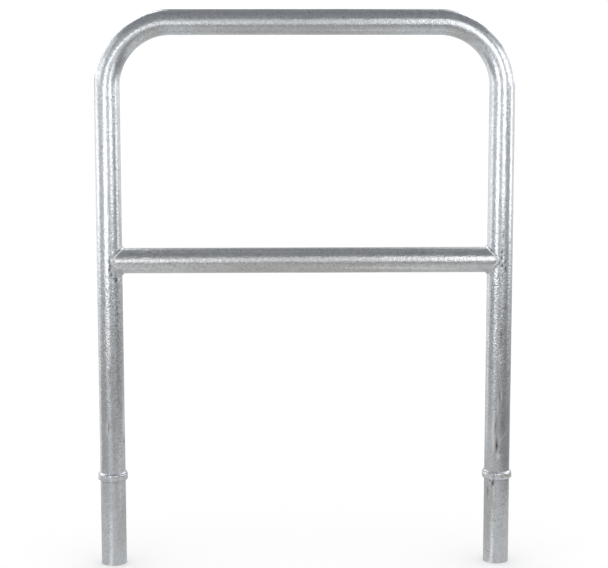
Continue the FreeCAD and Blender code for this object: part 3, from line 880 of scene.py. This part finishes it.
# the same for the darker gaps, with the share of light they take away
GAPS = [
    (46, 79, -1.0, 1.10, 0.34, 11, 0.20),
    (-79, -54, -1.0, 1.15, 0.10, 9, 0.30),
    (-58, -18, 1.25, 2.70, 0.22, 8, 0.30),
    (36, 54, 0.98, 2.10, 0.20, 6, 0.16),
    (-12, 42, -1.0, 0.15, 0.18, 10, 0.12),
]
SKIRTING_LEVEL, WALL_LEVEL, HIGH_LEVEL = 142, 184, 126
columns = 180
around = np.linspace(0, 2 * math.pi, columns, endpoint=False)
wall_ring = STUDIO_RADIUS * np.stack([np.cos(around), np.sin(around), np.zeros(columns)], -1)
wall_points = np.vstack([wall_ring, wall_ring + (0, 0, WALL_TOP)])
place = np.arange(columns)
beside = (place + 1) % columns
wall_faces = np.stack([place, beside, beside + columns, place + columns], -1)
wall_mesh = bpy.data.meshes.new("studio_wall")
wall_mesh.from_pydata(wall_points.tolist(), [], wall_faces.tolist())
wall_glow = bpy.data.materials.new("studio_wall_glow")
wall_board = Board(wall_glow)
right, back, height_up = spot_on(wall_board)
turned = turn_from_camera(right, back)
wall_level = height_up.ramp(0.0, 0.7, glow(SKIRTING_LEVEL), glow(WALL_LEVEL))
wall_level = wall_level * height_up.ramp(1.5, 3.1, 1.0, glow(HIGH_LEVEL) / glow(WALL_LEVEL))
wall_level = wall_level * height_up.ramp(3.4, 5.6, 1.0, 0.93)


def inside(left_edge, right_edge, low, high, turn_soft, rise_soft):
    """One inside a patch of the wall and nothing outside it."""
    turn_share = turned.between(left_edge, right_edge, turn_soft)
    return turn_share * height_up.between(low, high, rise_soft)


for left_edge, right_edge, low, high, taken, *soft in GAPS:
    wall_level = wall_level * (1 - inside(left_edge, right_edge, low, high, *soft) * taken)
for left_edge, right_edge, low, high, level, *soft in PANELS:
    panel = inside(left_edge, right_edge, low, high, *soft) * glow(level)
    wall_level = wall_level.larger(panel)
glowing("studio wall", wall_board, wall_level, height_up.ramp(0.5, 0.0), height_up.ramp(2.0, 3.4))
wall_mesh.materials.append(wall_glow)
wall_glow.cycles.emission_sampling = "NONE"
only_in_metal(bpy.data.objects.new("studio_wall", wall_mesh))

# %% [markdown]
# ## The ground inside the wall
# This ground is what the lower legs and every underside mirror. Close in it is a warm grey,
# lighter and more neutral by the feet. Farther out it is lighter where the panels throw light on
# it, behind and to the front left, and darker to the right.

# %% The ground inside the wall
MIDDLE_LEVEL, FEET_LEVEL, FAR_LEVEL, SPILL_LEVEL = 153, 167, 147, 196
GROUND_BELOW = 0.004
# left turn, right turn (degrees), screen level
GROUND_PATCHES = [(-190, -150, 182), (-152, -104, 198), (-52, -14, 178), (128, 190, 170)]
# foot, middle turn of the light that spills in front of it, from the front left panel
SPILLS = ((-LEG_X, -20), (LEG_X, -41))
SPILL_HALF_TURN = 16
ground_points = np.vstack([[(0.0, 0.0, 0.0)], wall_ring * 1.001]) - (0, 0, GROUND_BELOW)
fan = np.stack([np.zeros(columns, int), 1 + place, 1 + beside], -1)
ground_mesh = bpy.data.meshes.new("studio_ground")
ground_mesh.from_pydata(ground_points.tolist(), [], fan.tolist())
ground_glow = bpy.data.materials.new("studio_ground_glow")
ground_board = Board(ground_glow)
right, back, _ = spot_on(ground_board)
turned = turn_from_camera(right, back)
away = (right * right + back * back).maths("SQRT")
ring_level = ground_board.constant(glow(FAR_LEVEL))
for left_edge, right_edge, level in GROUND_PATCHES:
    ring_level = ring_level.larger(turned.between(left_edge, right_edge, 20) * glow(level))
ring_level = ring_level * (1 - turned.between(40, 114, 22) * 0.36)
ring_level = ring_level * (1 - turned.between(2, 44, 14) * away.ramp(1.5, 2.1) * 0.18)
ring_share = away.ramp(0.85, 1.5)
by_feet = right.size().ramp(0.15, 0.42)
near_level = by_feet * (glow(FEET_LEVEL) - glow(MIDDLE_LEVEL)) + glow(MIDDLE_LEVEL)
ground_level = near_level * (1 - ring_share) + ring_level * ring_share
for foot, spill_turn in SPILLS:
    from_foot = right - foot
    reach = (from_foot * from_foot + back * back).maths("SQRT")
    spill = turn_from_camera(from_foot, back).between(
        spill_turn - SPILL_HALF_TURN, spill_turn + SPILL_HALF_TURN, 12)
    spill = spill * reach.ramp(0.35, 0.70, 1.0, 0.0)
    ground_level = ground_level.larger(spill * glow(SPILL_LEVEL))
glowing("studio ground", ground_board, ground_level,
        by_feet.ramp(0.0, 1.0, 2.2, 0.4), ground_board.constant(0.0))
ground_mesh.materials.append(ground_glow)
ground_glow.cycles.emission_sampling = "NONE"
only_in_metal(bpy.data.objects.new("studio_ground", ground_mesh))

# %% [markdown]
# ## The ceiling and the plain light
# Above the wall the metal sees a dull ceiling, which gives each level tube its dark upper edge.
# The floor is lit by even white light from all round, and the camera sees the same white behind
# the barrier. One world holds both, and the kind of ray tells it which to show.

# %% The ceiling and the plain light
world = bpy.data.worlds.new("studio")
bpy.context.scene.world = world
sky = Board(world)
mirrored = sky.node("ShaderNodeLightPath", {}, {}, "Is Glossy Ray")
CEILING = glow(117)
ceiling_light = sky.node("ShaderNodeBackground", {}, {
    "Color": (CEILING * 0.98, CEILING, CEILING * 1.03, 1), "Strength": 1.0})
plain_light = sky.node("ShaderNodeBackground", {}, {"Color": (1, 1, 1, 1), "Strength": 1.08})
both = sky.node("ShaderNodeMixShader", {}, {0: mirrored, 1: plain_light, 2: ceiling_light})
sky.node("ShaderNodeOutputWorld", {}, {"Surface": both})
print("studio panels:", len(PANELS), "gaps:", len(GAPS))

# %% [markdown]
# ## The camera
# The barrier is seen from the front, from a little below its top and from far enough that its
# sides stay nearly parallel. A long lens does that. It looks slightly down, so the top of the
# rail and of each ring shows.

# %% The camera
CAMERA_AT = Vector((-0.0834, -4.1433, 1.2729))
HEADING = 0.0195
PITCH = 0.1422
ROLL = -0.0009
LENS_MM = 104.4
lens = bpy.data.cameras.new("camera")
lens.sensor_width = 36
lens.lens = LENS_MM
camera = bpy.data.objects.new("camera", lens)
bpy.context.scene.collection.objects.link(camera)
looking = Vector((math.sin(HEADING) * math.cos(PITCH),
                  math.cos(HEADING) * math.cos(PITCH), -math.sin(PITCH)))
aim = looking.to_track_quat("-Z", "Y").to_matrix() @ Matrix.Rotation(ROLL, 3, "Z")
camera.matrix_world = Matrix.Translation(CAMERA_AT) @ aim.to_4x4()
bpy.context.scene.camera = camera
bpy.context.scene.view_settings.view_transform = "Standard"

# %% [markdown]
# ## The size after the zinc
# The zinc and its marks lie on the imported sizes, so the finished barrier should be larger by no
# more than a fraction of a millimetre.

# %% The scene brought up to date
bpy.context.view_layer.update()
